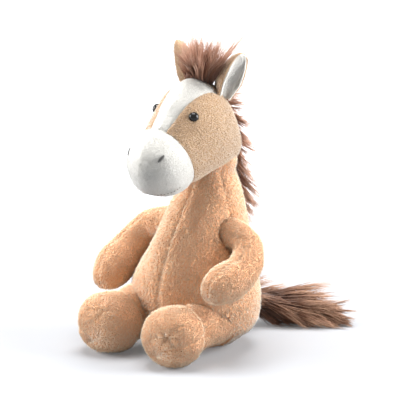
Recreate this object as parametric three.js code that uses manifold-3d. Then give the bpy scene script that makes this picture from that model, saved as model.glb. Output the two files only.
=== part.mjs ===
// A sitting plush foal: sewn covers of short pile cloth over fibre filling, in millimetres.
// +Z is up, the toy faces -Y, and +X is its own left side. It sits on the plane z = 0.
import * as THREE from "three";
import { mergeVertices } from "three/addons/utils/BufferGeometryUtils.js";
import Module from "manifold-3d";

const wasm = await Module();
wasm.setup();

// Cloth, filling and clearances
const CLOTH = 2.0; // pile cloth, with its pile pressed down
const SEAM_GAP = 0.3; // left where two panels or two pieces meet
const SEWN_GAP = 0.8; // under ears and hair, which are sewn on a round surface
const FILL_GAP = 1.6; // between a cover and the filling in it
const PRESS = 0.5; // how deep the floor flattens what sits on it

// Torso: height, half width, half depth and centre y of each section, from the seat to the neck
const TORSO = [
  [1.0, 29, 28, -8],
  [8, 42, 40, -9],
  [24, 60, 53.5, -12],
  [45, 66, 58.5, -14],
  [66, 63, 58.5, -13.5],
  [92, 50.5, 54, -9],
  [119, 40, 46, -2],
  [142, 34, 37, 4.5],
  [157, 28.5, 30, 9],
];
const SEAT_RADIUS = 22; // of the part of the seat that lies on the floor
const NECK_BALL = new THREE.Vector3(0, 10.5, 182); // the head turns about this point
const NECK_BALL_RADIUS = 24.5;
const NECK_FROM = -22; // degrees below the ball's middle where it leaves the neck
const NECK_RIM = 50; // degrees above it where the neck's cloth ends
const NECK_TOP = 90;
const NOD = 15; // degrees that the head drops or lifts from rest

// Head: stations along a line that runs down from the back of the skull to the nose
const HEAD_CENTRE = new THREE.Vector3(0, -7, 224);
const HEAD_PITCH = THREE.MathUtils.degToRad(26);
// distance along the line, half width, lift of the widest place, height above it and depth below it
const HEAD = [
  [-35, 0, -8, 0, 0],
  [-32.5, 12, -8, 17, 17],
  [-26.5, 22, -7, 37, 33],
  [-16.5, 30.5, -4, 49.5, 47.5],
  [1, 36.5, 0, 49, 47],
  [21, 37, 1, 44.5, 42],
  [39, 34, 0, 38, 37],
  [53, 31.5, 0, 33.5, 34],
  [66, 32.5, 0, 32.5, 33.5],
  [80, 29.5, 0, 28.5, 29.5],
  [91, 21, 0, 20, 21],
  [97.5, 10.5, 0, 10, 10.5],
  [99.5, 0, 0, 0, 0],
];
const JAW_SQUARENESS = 2.6; // of the lower half of a section, where 2 is an ellipse
const CROWN_STATION = 3; // the white blaze starts here
const NOSE_STATION = 7; // and meets the muzzle here
const BLAZE_AT_CROWN = 23.5; // half widths of the blaze
const BLAZE_AT_NOSE = 9;

// Eyes: a domed button on a shank, held behind the cloth by a washer
const EYE_RADIUS = 5;
const EYE_HEIGHT = 3.6;
const EYE_STATION = 5.2;
const EYE_TURN = THREE.MathUtils.degToRad(43.5); // from the top of the head
const SHANK_RADIUS = 1.6;
const SHANK_LENGTH = 8;
const WASHER_RADIUS = 6;
const WASHER_THICKNESS = 1;
const WASHER_SEAT = 1.7; // from the cloth's inner side to the washer

// Nostrils: small raised pads of satin stitch, each with a thin end and a round one
const NOSTRIL = [
  // station of the head, turn from its top in degrees, half width
  [8.5, 41, 0.4],
  [8.75, 40, 1.0],
  [9.0, 39, 1.6],
  [9.2, 39, 1.8],
  [9.35, 39, 1.0],
];
const NOSTRIL_DEPTH = 0.8;

// Ears: a tan cup with a white lining, open to the side
const EAR_BASE = new THREE.Vector3(24, 2, 256);
const EAR_TIP = new THREE.Vector3(42.5, 7.5, 300);
const EAR_OPENS = new THREE.Vector3(0.93, -0.15, -0.1);
// share of the length, half width and depth of the cup
const EAR = [
  [-0.1, 8.5, 13],
  [0.1, 11, 17],
  [0.3, 12.5, 19],
  [0.55, 11.5, 16],
  [0.78, 8.5, 10.5],
  [0.93, 4.5, 5],
];
const EAR_WRAP = 100; // degrees to each side of the fold
const EAR_CLOTH = 1.6;
const LINING = 1.2;
const EAR_GAP = 0.5; // between the two
const EAR_COLUMNS = 6;

// Hair of the forelock, mane and tail, as closed outer shapes with lobes for their locks
const FORELOCK_BASE = new THREE.Vector3(0, -8, 266);
const FORELOCK_TIP = new THREE.Vector3(2, -6, 312);
const FORELOCK = [[13, 8], [16.5, 8.5], [20, 9], [21.5, 9], [16, 7.5], [0, 0]]; // half sizes
const FORELOCK_LOCKS = 5;
const LOCK_DEPTH = 0.16; // share of the radius between two locks
const MANE_WIDTH = 18;
const MANE_STAND = 15; // how far the hair stands off the cloth
const MANE_UPPER = [-1.8, 2.2]; // stations over the back of the head, down from the crown
const MANE_LOWER = [7.7, 10.15]; // stations of the torso, up to the neck
const MANE_LOBES = 4;
const MANE_LOBE_DEPTH = 0.2;
const TAIL = [
  // centre line, half width and half height
  [0, 46, 33, 5, 5],
  [1, 57, 32, 8, 8],
  [5, 68, 28, 13, 12.5],
  [13, 84, 22, 19, 16],
  [28, 103, 17, 23, 16.5],
  [45, 117, 12, 21, 12.5],
  [62, 127, 6.5, 14, 8],
  [73, 134, 3, 0, 0],
];
const TAIL_BALL = 9; // the sewn end, which turns in its seam
const TAIL_LOCKS = 5;

// Arms: centre line of the left arm reaching level to the front, half width and half height
const SHOULDER = new THREE.Vector3(33, -5, 116);
const ARM = [
  [0, 0, 0, 15, 15],
  [11, 0, 0, 15, 15],
  [24.5, -5, -5, 14, 14.5],
  [34.5, -20, -9.5, 15, 16],
  [37.5, -41, -9.5, 17, 17.5],
  [36, -60, -4, 18.5, 18.5],
  [34.5, -75.5, -1, 15, 15],
  [33.5, -83.5, 0.5, 8.5, 8.5],
  [33, -86.5, 1, 0, 0],
];
const ARM_BEND_FROM = 2; // the point where an arm starts to bend
const ARM_SPREAD_LEFT = 1.06; // how far it bends outwards, as a share of the above
const ARM_SPREAD_RIGHT = 1.3;
const ARM_DROP_LEFT = 31; // degrees below level at rest
const ARM_DROP_RIGHT = 44;
const SHOULDER_CLEARANCE = 3.4; // round the arm where it enters the torso's side
const SHOULDER_REACH = 20;

// Legs: each starts as a ball in the torso's lower front and runs forward into the foot
const HIP = new THREE.Vector3(36, -34, 32.5);
const HIP_RADIUS = 22.5;
const HIP_OPENING = 8; // from the hip's middle back to where its cloth is open
const LEG = [
  // from the hip: centre line, half width and half height
  [0, 2, 0, 18, 19],
  [1, -12, 0, 22, 22.5],
  [2.5, -26, -0.5, 22.5, 23.5],
  [3.5, -38, -2, 23.5, 24.5],
  [4.5, -47, -3, 28.5, 28],
  [5, -59, -3, 31, 30],
  [5, -73, -3, 28, 27.5],
  [5, -83, -2.8, 19.5, 19.5],
  [5, -88, -2.5, 9.5, 9.5],
  [5, -89.5, -2.5, 0, 0],
];
const LEG_UP = 6; // degrees that a leg lifts from rest
const LEG_DOWN = 80; // and swings down when the toy is held up
const LEG_SWEEP_STEP = 20; // degrees between the places that the torso is cut back for
const LEG_CLEARANCE = 2.4; // round the leg in that room
const BALL_GAP = 0.8; // round a sewn ball end, so that it turns freely

// Facets round each kind of piece
const TORSO_SIDES = 22;
const CHEEK_SIDES = 9;
const BLAZE_SIDES = 4;
const HEAD_SIDES = 22;
const FILLING_SIDES = 18;
const LIMB_SIDES = 12;
const HIP_SIDES = 14;
const SWEPT_SIDES = 12;
const HAIR_SIDES = 14;
const ROUND_SIDES = 12;

const COLOURS = {
  tan: 0xe0ab7c,
  cheek: 0xe2bf96,
  white: 0xf1f0ec,
  brown: 0x7d5645,
  black: 0x0b0b0c,
  filling: 0xf4f3ee,
  plastic: 0xdedbd2,
};
const ROUGHNESS = { tan: 0.95, cheek: 0.95, white: 0.95, brown: 0.8, black: 0.1 };
const PLAIN_ROUGHNESS = 0.9;

const foal = new THREE.Group();

function add(name, geometry, colour) {
  const material = new THREE.MeshStandardMaterial({
    color: COLOURS[colour],
    roughness: ROUGHNESS[colour] ?? PLAIN_ROUGHNESS,
    metalness: 0,
  });
  const mesh = new THREE.Mesh(geometry, material);
  mesh.name = name;
  foal.add(mesh);
  return mesh;
}

// Geometry from shared vertices, without the triangles that have collapsed, and facing out.
function closed(points, faces) {
  const raw = new THREE.BufferGeometry().setFromPoints(points);
  raw.setIndex(faces);
  const merged = mergeVertices(raw, 1e-4);
  const old = merged.index.array;
  const at = merged.attributes.position;
  const kept = [];
  let volume = 0;
  const [a, b, c] = [new THREE.Vector3(), new THREE.Vector3(), new THREE.Vector3()];
  for (let i = 0; i < old.length; i += 3) {
    const [p, q, r] = [old[i], old[i + 1], old[i + 2]];
    if (p === q || q === r || r === p) continue;
    kept.push(p, q, r);
    a.fromBufferAttribute(at, p);
    b.fromBufferAttribute(at, q);
    c.fromBufferAttribute(at, r);
    volume += a.dot(b.cross(c));
  }
  if (volume < 0) kept.reverse();
  merged.setIndex(kept);
  merged.computeVertexNormals();
  return merged;
}

// Closed rings of points joined one to the next. An end ring is one point or a folded line.
function loft(rings, endless = false) {
  const count = rings[0].length;
  const faces = [];
  const bands = endless ? rings.length : rings.length - 1;
  for (let j = 0; j < bands; j++) {
    const a = j * count;
    const b = ((j + 1) % rings.length) * count;
    for (let i = 0; i < count; i++) {
      const k = (i + 1) % count;
      faces.push(a + i, a + k, b + k, a + i, b + k, b + i);
    }
  }
  return closed(rings.flat(), faces);
}

function toManifold(geometry) {
  const plain = geometry.clone();
  plain.deleteAttribute("normal");
  plain.deleteAttribute("uv");
  const merged = mergeVertices(plain, 1e-4);
  const mesh = new wasm.Mesh({
    numProp: 3,
    vertProperties: new Float32Array(merged.attributes.position.array),
    triVerts: new Uint32Array(merged.index.array),
  });
  return new wasm.Manifold(mesh);
}

function fromManifold(solid) {
  const mesh = solid.getMesh();
  const geometry = new THREE.BufferGeometry();
  geometry.setAttribute("position", new THREE.BufferAttribute(mesh.vertProperties, 3));
  geometry.setIndex(new THREE.BufferAttribute(mesh.triVerts, 1));
  geometry.computeVertexNormals();
  return geometry;
}

function cut(geometry, ...tools) {
  let solid = toManifold(geometry);
  for (const tool of tools) solid = solid.subtract(toManifold(tool));
  return fromManifold(solid);
}

function join(first, second) {
  return fromManifold(toManifold(first).add(toManifold(second)));
}

// A surface is a function of a turn u and a place v along it, which gives a point.
const STEP = 1e-3;
const POLE_SPREAD = 1.5; // a ring smaller than this is the end point of its surface

function outward(surface, u, v, last) {
  const w = THREE.MathUtils.clamp(v, 2 * STEP, last - 2 * STEP);
  const round = surface(u + STEP, w).sub(surface(u - STEP, w));
  const along = surface(u, w + STEP).sub(surface(u, w - STEP));
  return round.cross(along).normalize();
}

// The same surface moved into the piece by a depth, or out of it by a negative one.
function inset(surface, depth) {
  const moved = (u, v) => {
    const normal = outward(surface, u, v, surface.last);
    return surface(u, v).addScaledVector(normal, -depth * surface.sense);
  };
  moved.last = surface.last;
  moved.sense = surface.sense;
  return moved;
}

// sense is 1 where u and v turn so that their cross product leaves the piece.
function makeSurface(point, last, sense) {
  const surface = (u, v) => point(u, v);
  surface.last = last;
  surface.sense = sense;
  return surface;
}

function ringAt(surface, v, count, floor = -Infinity) {
  const ring = [];
  for (let i = 0; i < count; i++) {
    const point = surface((i / count) * 2 * Math.PI, v);
    point.z = Math.max(point.z, floor);
    ring.push(point);
  }
  const centre = ring.reduce((sum, p) => sum.add(p), new THREE.Vector3()).divideScalar(count);
  const spread = Math.max(...ring.map((p) => p.distanceTo(centre)));
  return spread < POLE_SPREAD ? ring.map(() => centre.clone()) : ring;
}

function rings(surface, places, count, floor) {
  return places.map((v) => ringAt(surface, v, count, floor));
}

function flatEnd(ring) {
  const centre = ring.reduce((sum, p) => sum.add(p), new THREE.Vector3());
  centre.divideScalar(ring.length);
  return ring.map(() => centre.clone());
}

function steps(from, to, count) {
  return Array.from({ length: count + 1 }, (_, i) => from + ((to - from) * i) / count);
}

// A smooth table: each column follows a curve through the rows.
function spline(rows) {
  const halves = [0, 3].map((first) => {
    const value = (row, i) => row[first + i] ?? 0;
    const points = rows.map((r) => new THREE.Vector3(value(r, 0), value(r, 1), value(r, 2)));
    return new THREE.CatmullRomCurve3(points, false, "catmullrom", 0.5);
  });
  return (k) => {
    const t = THREE.MathUtils.clamp(k / (rows.length - 1), 0, 1);
    const [a, b] = halves.map((curve) => curve.getPoint(t));
    return [a.x, a.y, a.z, b.x, b.y, b.z];
  };
}

// Torso: the sections, then the neck's ball, with a flat seat below.
const ballRows = [NECK_FROM, 5, 28, NECK_RIM, 70, NECK_TOP].map((degrees) => {
  const angle = THREE.MathUtils.degToRad(degrees);
  const radius = NECK_BALL_RADIUS * Math.cos(angle);
  return [NECK_BALL.z + NECK_BALL_RADIUS * Math.sin(angle), radius, radius, NECK_BALL.y];
});
const seatRow = [-PRESS, SEAT_RADIUS, SEAT_RADIUS, TORSO[0][3]];
const torsoRows = [[-PRESS, 0, 0, TORSO[0][3]], seatRow, ...TORSO, ...ballRows];
const torsoTable = spline(torsoRows);
const torsoSurface = makeSurface((u, k) => {
  const [z, width, depth, y] = torsoTable(k);
  const across = Math.max(width, 0);
  const deep = Math.max(depth, 0);
  return new THREE.Vector3(across * Math.cos(u), y + deep * Math.sin(u), z);
}, torsoRows.length - 1, 1);

// Head: an egg-shaped section at each station, square with the line to the nose.
const headAlong = new THREE.Vector3(0, -Math.cos(HEAD_PITCH), -Math.sin(HEAD_PITCH));
const headUp = new THREE.Vector3(0, -Math.sin(HEAD_PITCH), Math.cos(HEAD_PITCH));
const headTable = spline(HEAD);

function headSection(k, u) {
  const [along, width, lift, above, below] = headTable(k);
  const lower = Math.cos(u) < 0;
  const power = lower ? 2 / JAW_SQUARENESS : 1;
  const rise = Math.sign(Math.cos(u)) * Math.abs(Math.cos(u)) ** power;
  const side = Math.sign(Math.sin(u)) * Math.abs(Math.sin(u)) ** power;
  return [along, Math.max(width, 0) * side, lift + Math.max(lower ? below : above, 0) * rise];
}

// u runs from the top of the head, over its left side, to the jaw.
const headSurface = makeSurface((u, k) => {
  const [along, side, up] = headSection(k, u);
  return HEAD_CENTRE.clone()
    .addScaledVector(headAlong, along)
    .addScaledVector(headUp, up)
    .add(new THREE.Vector3(side, 0, 0));
}, HEAD.length - 1, -1);

// The turn at which the blaze ends, at a station of the head.
function blazeTurn(k) {
  const share = (k - CROWN_STATION) / (NOSE_STATION - CROWN_STATION);
  const half = THREE.MathUtils.lerp(BLAZE_AT_CROWN, BLAZE_AT_NOSE, share);
  return Math.asin(Math.min(half / headTable(k)[1], 1));
}

// A cloth panel: at each place v its cross-section runs out along the surface and back inside it.
function panel(surface, spans, columns, depth) {
  const inner = inset(surface, depth);
  const rows = spans.map(([v, from, to]) => {
    const turns = steps(from, to, columns);
    const out = turns.map((u) => surface(u, v));
    const back = turns.map((u) => inner(u, v)).reverse();
    return [...out, ...back];
  });
  const fold = (row) => {
    const back = row.slice(columns + 1);
    return [...[...back].reverse(), ...back];
  };
  return [fold(rows[0]), ...rows, fold(rows[rows.length - 1])];
}

// A cover that is open at its first place: out along the surface and back along its inner side.
function cupRows(surface, places, sides, depth, floor = -Infinity) {
  const out = rings(surface, places, sides, floor);
  const back = rings(inset(surface, depth), places, sides, floor + depth).reverse();
  return [...out, ...back];
}

// A limb or a lock of hair: sections across a centre line, each level at its widest.
function limbSurface(table) {
  const line = new THREE.CatmullRomCurve3(
    table.map(([x, y, z]) => new THREE.Vector3(x, y, z)), false, "catmullrom", 0.5);
  const sizes = spline(table.map((row) => row.slice(3)));
  const last = table.length - 1;
  const lift = new THREE.Vector3(0, 0, 1);
  return makeSurface((u, k) => {
    const t = THREE.MathUtils.clamp(k / last, 0, 1);
    const along = line.getTangent(t);
    const side = along.clone().cross(lift).normalize();
    const up = side.clone().cross(along);
    const [width, height] = sizes(k);
    return line.getPoint(t)
      .addScaledVector(side, Math.max(width, 0) * Math.cos(u))
      .addScaledVector(up, Math.max(height, 0) * Math.sin(u));
  }, last, -1);
}

// The same surface with its radius drawn in between the locks.
function withLocks(surface, centreOf, locks) {
  return makeSurface((u, k) => {
    const centre = centreOf(k);
    const share = 1 - LOCK_DEPTH * (0.5 - 0.5 * Math.cos(locks * u)) * Math.min(k / 2, 1);
    return surface(u, k).sub(centre).multiplyScalar(share).add(centre);
  }, surface.last, surface.sense);
}

function mirrored(geometry) {
  const copy = geometry.clone();
  copy.scale(-1, 1, 1);
  const order = copy.index.array;
  for (let i = 0; i < order.length; i += 3) {
    [order[i], order[i + 1]] = [order[i + 1], order[i]];
  }
  copy.computeVertexNormals();
  return copy;
}

// Turned about a line through a point that runs to the toy's left; a positive turn drops the front.
function swung(geometry, centre, degrees) {
  const turn = new THREE.Matrix4().makeRotationX(THREE.MathUtils.degToRad(degrees));
  const copy = geometry.clone();
  copy.translate(-centre.x, -centre.y, -centre.z);
  copy.applyMatrix4(turn);
  copy.translate(centre.x, centre.y, centre.z);
  return copy;
}

function ball(centre, radius, sides = ROUND_SIDES) {
  const geometry = new THREE.SphereGeometry(radius, sides, sides / 2);
  return geometry.translate(centre.x, centre.y, centre.z);
}

// Arms: a cover open at the shoulder, and the filling that shows there.
function bentArm(spread) {
  return limbSurface(ARM.map(([x, y, z, w, h], i) => {
    const out = i < ARM_BEND_FROM ? x : x * spread;
    return [SHOULDER.x + SEAM_GAP + out, SHOULDER.y + y, SHOULDER.z + z, w, h];
  }));
}
const armPlaces = [0, 1, 1.8, 2.5, 3.2, 4, 4.8, 5.5, 6.2, 7, 8];

function levelEnd(rows, x) {
  for (const point of rows) point.x = x;
}

function armCover(surface) {
  const rows = cupRows(surface, armPlaces, LIMB_SIDES, CLOTH);
  levelEnd(rows[0], SHOULDER.x + SEAM_GAP);
  levelEnd(rows[rows.length - 1], SHOULDER.x + SEAM_GAP);
  return loft(rows, true);
}

function armFilling(surface) {
  const inner = inset(surface, CLOTH + FILL_GAP);
  const rows = rings(inner, armPlaces, LIMB_SIDES);
  levelEnd(rows[0], SHOULDER.x + SEAM_GAP);
  return loft([flatEnd(rows[0]), ...rows]);
}

// Legs: the ball of the hip and the thigh joined, then hollowed for the cover.
const legTable = LEG.map(([x, y, z, w, h]) => [HIP.x + x, HIP.y + y, HIP.z + z, w, h]);
const legSurface = limbSurface(legTable);
const legPlaces = [0, 1, 2, 2.6, 3.2, 4, 4.6, 5.2, 6, 7, 8, 9];
const sweptPlaces = legPlaces.slice(0, 5);

function onFloor(geometry, floor) {
  const at = geometry.attributes.position;
  for (let i = 0; i < at.count; i++) at.setZ(i, Math.max(at.getZ(i), floor));
  return geometry;
}

function legShape(depth, places) {
  const rows = rings(inset(legSurface, depth), places, LIMB_SIDES, depth);
  const hip = onFloor(ball(HIP, HIP_RADIUS - depth, HIP_SIDES), depth);
  return join(hip, loft([flatEnd(rows[0]), ...rows]));
}

function legCover() {
  const opening = new THREE.BoxGeometry(HIP_RADIUS * 4, HIP_RADIUS, HIP_RADIUS * 4);
  opening.translate(HIP.x, HIP.y + HIP_OPENING + HIP_RADIUS / 2, HIP.z);
  return cut(legShape(0, legPlaces), legShape(CLOTH, legPlaces), opening);
}

function legFilling() {
  return legShape(CLOTH + FILL_GAP, legPlaces);
}

// The room that a leg takes as it swings, which the torso leaves free.
function legRoom() {
  const rows = rings(inset(legSurface, -LEG_CLEARANCE), sweptPlaces, SWEPT_SIDES);
  const leg = loft([flatEnd(rows[0]), ...rows, flatEnd(rows[rows.length - 1])]);
  let room = toManifold(ball(HIP, HIP_RADIUS + BALL_GAP, HEAD_SIDES));
  const count = Math.ceil((LEG_UP + LEG_DOWN) / LEG_SWEEP_STEP);
  for (const turn of steps(-LEG_UP, LEG_DOWN, count)) {
    room = room.add(toManifold(swung(leg, HIP, turn)));
  }
  return fromManifold(room);
}

function shoulderRoom() {
  const radius = ARM[0][3] + SHOULDER_CLEARANCE;
  const room = new THREE.CylinderGeometry(radius, radius, SHOULDER_REACH, HEAD_SIDES);
  room.rotateZ(Math.PI / 2);
  return room.translate(SHOULDER.x + SHOULDER_REACH / 2, SHOULDER.y, SHOULDER.z);
}

// Tail
const TAIL_ROOT = new THREE.Vector3(TAIL[0][0], TAIL[0][1], TAIL[0][2]);
const tailPlaces = [0, 1, 1.5, 2, 2.5, 3, 3.5, 4, 4.5, 5, 5.5, 6, 6.5, 7];

function tail() {
  const plain = limbSurface(TAIL);
  const line = new THREE.CatmullRomCurve3(
    TAIL.map(([x, y, z]) => new THREE.Vector3(x, y, z)), false, "catmullrom", 0.5);
  const shape = withLocks(plain, (k) => line.getPoint(k / plain.last), TAIL_LOCKS);
  const rows = rings(shape, tailPlaces, HAIR_SIDES, 0);
  return join(loft([flatEnd(rows[0]), ...rows]), ball(TAIL_ROOT, TAIL_BALL));
}

// Torso: a cover with openings for the limbs, and its filling.
const [armSpace, legSpace] = [shoulderRoom(), legRoom()];
const tailSpace = ball(TAIL_ROOT, TAIL_BALL + BALL_GAP, ROUND_SIDES);
const torsoRooms = [armSpace, mirrored(armSpace), legSpace, mirrored(legSpace), tailSpace];
const torsoLast = torsoRows.length - 1;
const rimPlace = torsoLast - 2;
const torsoPlaces = [rimPlace, ...steps(rimPlace - 1, 2, 14), 1, 0];

function torsoCover() {
  return cut(loft(cupRows(torsoSurface, torsoPlaces, TORSO_SIDES, CLOTH, 0), true), ...torsoRooms);
}

function torsoFilling() {
  const depth = CLOTH + FILL_GAP;
  const places = [torsoLast, torsoLast - 1, rimPlace, ...steps(rimPlace - 1, 1, rimPlace - 2), 0];
  return cut(loft(rings(inset(torsoSurface, depth), places, FILLING_SIDES, depth)), ...torsoRooms);
}

// Head
const NOD_ROOM = 2; // between the neck and the head's lower edge as it nods

// The room that the neck takes in the head over the head's whole nod.
function neckRoom() {
  const places = [9, 10, 11, 11.6];
  const rows = rings(inset(torsoSurface, -NOD_ROOM), places, FILLING_SIDES);
  const neck = loft([flatEnd(rows[0]), ...rows, flatEnd(rows[rows.length - 1])]);
  let room = toManifold(ball(NECK_BALL, NECK_BALL_RADIUS + BALL_GAP, HEAD_SIDES));
  for (const turn of [-NOD, 0, NOD]) room = room.add(toManifold(swung(neck, NECK_BALL, turn)));
  return fromManifold(room);
}
const socket = neckRoom();
const eyeHole = new THREE.CylinderGeometry(
  SHANK_RADIUS + SEAM_GAP, SHANK_RADIUS + SEAM_GAP, 2 * SHANK_LENGTH + 1, ROUND_SIDES);
const pocketTop = -(CLOTH + WASHER_SEAT - 4 * SEAM_GAP);
const pocketDepth = WASHER_THICKNESS + 6 * SEAM_GAP;
const washerPocket = new THREE.CylinderGeometry(
  WASHER_RADIUS + SEAM_GAP, WASHER_RADIUS + SEAM_GAP, pocketDepth, ROUND_SIDES);
washerPocket.translate(0, pocketTop - pocketDepth / 2, 0);

function atEye(geometry) {
  const normal = outward(headSurface, EYE_TURN, EYE_STATION, headSurface.last);
  normal.multiplyScalar(headSurface.sense);
  const turn = new THREE.Quaternion().setFromUnitVectors(new THREE.Vector3(0, 1, 0), normal);
  const seat = headSurface(EYE_TURN, EYE_STATION).addScaledVector(normal, SEAM_GAP);
  return geometry.clone().applyQuaternion(turn).translate(seat.x, seat.y, seat.z);
}

function turned(corners) {
  const profile = corners.map(([radius, height]) => new THREE.Vector2(radius, height));
  return atEye(new THREE.LatheGeometry(profile, ROUND_SIDES));
}

function eye() {
  const shank = [
    [0, -SHANK_LENGTH],
    [SHANK_RADIUS, -SHANK_LENGTH],
    [SHANK_RADIUS, 0],
    [EYE_RADIUS, 0],
  ];
  const dome = steps(0, Math.PI / 2, 4).slice(1);
  return turned([...shank, ...dome.map((angle) => [
    EYE_RADIUS * Math.cos(angle),
    EYE_HEIGHT * Math.sin(angle),
  ])]);
}

function washer() {
  const top = -(CLOTH + WASHER_SEAT);
  const bottom = top - WASHER_THICKNESS;
  const hole = SHANK_RADIUS + SEAM_GAP;
  return turned([[hole, top], [hole, bottom], [WASHER_RADIUS, bottom], [WASHER_RADIUS, top], [hole, top]]);
}

// Keeps a piece of the left half off the middle of the toy.
function offMiddle(rows) {
  for (const row of rows) for (const point of row) point.x = Math.max(point.x, SEAM_GAP / 2);
  return rows;
}

const crownGap = 0.03; // stations from the crown seam to the cheeks behind it
const blazeGap = 0.12; // and to the blaze in front of it
const cheekPlaces = [0, 0.5, 1, 1.5, 2, 2.5, CROWN_STATION - crownGap, CROWN_STATION,
  ...steps(3.5, NOSE_STATION, 7)];

function cheek() {
  const spans = cheekPlaces.map((k) => [k, k < CROWN_STATION ? 0 : blazeTurn(k), Math.PI]);
  const rows = offMiddle(panel(headSurface, spans, CHEEK_SIDES, CLOTH));
  return cut(loft(rows), socket, atEye(eyeHole));
}

function blaze() {
  const spans = cheekPlaces.filter((k) => k >= CROWN_STATION).map((k) => {
    const place = Math.max(k, CROWN_STATION + blazeGap);
    const half = blazeTurn(place) - (2 * SEAM_GAP) / headTable(place)[1];
    return [place, -half, half];
  });
  return loft(panel(headSurface, spans, 2 * BLAZE_SIDES, CLOTH));
}

function muzzle() {
  const gap = 0.035; // of a station
  const places = [NOSE_STATION + gap, 7.7, 8.4, 9, 9.5, 10, 10.5, 11, 12];
  return loft(cupRows(headSurface, places, HEAD_SIDES, CLOTH), true);
}

function headFilling() {
  const inner = inset(headSurface, CLOTH + FILL_GAP);
  const places = [0, 0.6, 1, 2, 3, 4, 5, 6, 7, 8, 9, 10, 11, 12];
  const pockets = [atEye(eyeHole), atEye(washerPocket)];
  const body = loft(rings(inner, places, FILLING_SIDES));
  return cut(body, socket, ...pockets, ...pockets.map(mirrored));
}

function nostril() {
  const raised = inset(headSurface, -(SEAM_GAP + NOSTRIL_DEPTH));
  const spans = NOSTRIL.map(([k, turn, half]) => {
    const middle = THREE.MathUtils.degToRad(turn);
    const spread = half / headTable(k)[1];
    return [k, middle - spread, middle + spread];
  });
  return loft(panel(raised, spans, 3, NOSTRIL_DEPTH));
}

// The head and the torso, a seam's gap larger, which what is sewn on them is cut by.
const headOuter = loft(rings(
  inset(headSurface, -SEWN_GAP), steps(0, headSurface.last, 30), 32));
const torsoOuter = loft(rings(
  inset(torsoSurface, -SEWN_GAP), steps(0, torsoLast, 24), 32));

// Ears: u turns from the fold to each edge of the cup, and v runs from the base to the tip.
const earAlong = EAR_TIP.clone().sub(EAR_BASE);
const earForward = earAlong.clone().normalize().cross(EAR_OPENS).normalize();
const earOut = earForward.clone().cross(earAlong).normalize();
const earTable = spline(EAR);
const earPlaces = steps(0, EAR.length - 1, 6);
const earSurface = makeSurface((u, k) => {
  const [share, width, depth] = earTable(k);
  return EAR_BASE.clone()
    .addScaledVector(earAlong, share)
    .addScaledVector(earOut, -depth * Math.cos(u))
    .addScaledVector(earForward, width * Math.sin(u));
}, EAR.length - 1, -1);

function earPanel(surface, depth, wrap, rowCount, tip) {
  const spread = THREE.MathUtils.degToRad(wrap);
  const spans = earPlaces.slice(0, rowCount).map((k) => [k, -spread, spread]);
  const rows = panel(surface, spans, EAR_COLUMNS, depth);
  rows[rows.length - 1] = rows[rows.length - 1].map(() => tip.clone());
  return cut(loft(rows), headOuter);
}

function ear() {
  return earPanel(earSurface, EAR_CLOTH, EAR_WRAP, earPlaces.length, EAR_TIP);
}

function earLining() {
  const inner = inset(earSurface, EAR_CLOTH + EAR_GAP);
  const place = earPlaces[earPlaces.length - 2];
  const between = inner(Math.PI / 2, place).lerp(inner(-Math.PI / 2, place), 0.5);
  const tip = inner(0, place).lerp(between, 0.5);
  return earPanel(inner, LINING, EAR_WRAP - 4, earPlaces.length - 2, tip);
}

// Hair: the forelock stands up from the crown, and the mane follows the back seam.
function forelock() {
  const table = FORELOCK.map(([w, h], i) => {
    const at = FORELOCK_BASE.clone().lerp(FORELOCK_TIP, i / (FORELOCK.length - 1));
    return [at.x, at.y, at.z, w, h];
  });
  const sizes = spline(table);
  const plain = makeSurface((u, k) => {
    const [x, y, z, w, h] = sizes(k);
    return new THREE.Vector3(x + Math.max(w, 0) * Math.cos(u), y + Math.max(h, 0) * Math.sin(u), z);
  }, FORELOCK.length - 1, 1);
  const middle = (k) => new THREE.Vector3(...sizes(k).slice(0, 3));
  const shape = withLocks(plain, middle, FORELOCK_LOCKS);
  const rows = rings(shape, steps(0, FORELOCK.length - 1, 10), HAIR_SIDES);
  return cut(loft([flatEnd(rows[0]), ...rows]), headOuter);
}

function mane(middlePoint, from, to, lobes) {
  const rows = steps(0, 1, 4 * lobes).map((share) => {
    const { point, normal } = middlePoint(THREE.MathUtils.lerp(from, to, share));
    const taper = Math.sin(Math.PI * THREE.MathUtils.clamp(share, 0, 1)) ** 0.4;
    const lobe = 1 - MANE_LOBE_DEPTH * Math.abs(Math.sin(Math.PI * lobes * share));
    const ring = [];
    for (let i = 0; i < 12; i++) {
      const u = (i / 12) * 2 * Math.PI;
      ring.push(point.clone()
        .addScaledVector(normal, MANE_STAND * taper * lobe * Math.sin(u))
        .add(new THREE.Vector3((MANE_WIDTH / 2) * taper * Math.cos(u), 0, 0)));
    }
    return share === 0 || share === 1 ? flatEnd(ring) : ring;
  });
  return loft(rows);
}

function maneUpper() {
  const middlePoint = (s) => {
    const u = s < 0 ? 0 : Math.PI;
    const k = Math.abs(s);
    const normal = outward(headSurface, u + STEP, k, headSurface.last);
    normal.multiplyScalar(headSurface.sense);
    return { point: headSurface(u, k), normal: normal.setX(0).normalize() };
  };
  return cut(mane(middlePoint, ...MANE_UPPER, MANE_LOBES), headOuter);
}

function maneLower() {
  const middlePoint = (k) => {
    const normal = outward(torsoSurface, Math.PI / 2, k, torsoLast);
    return { point: torsoSurface(Math.PI / 2, k), normal: normal.setX(0).normalize() };
  };
  return cut(mane(middlePoint, ...MANE_LOWER, MANE_LOBES - 1), torsoOuter);
}

function addPair(name, geometry, colour) {
  add(`${name}_left`, geometry, colour);
  add(`${name}_right`, mirrored(geometry), colour);
}

add("torso_cover", torsoCover(), "tan");
add("torso_filling", torsoFilling(), "filling");
add("mane_lower", maneLower(), "brown");
add("tail", tail(), "brown");

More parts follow.
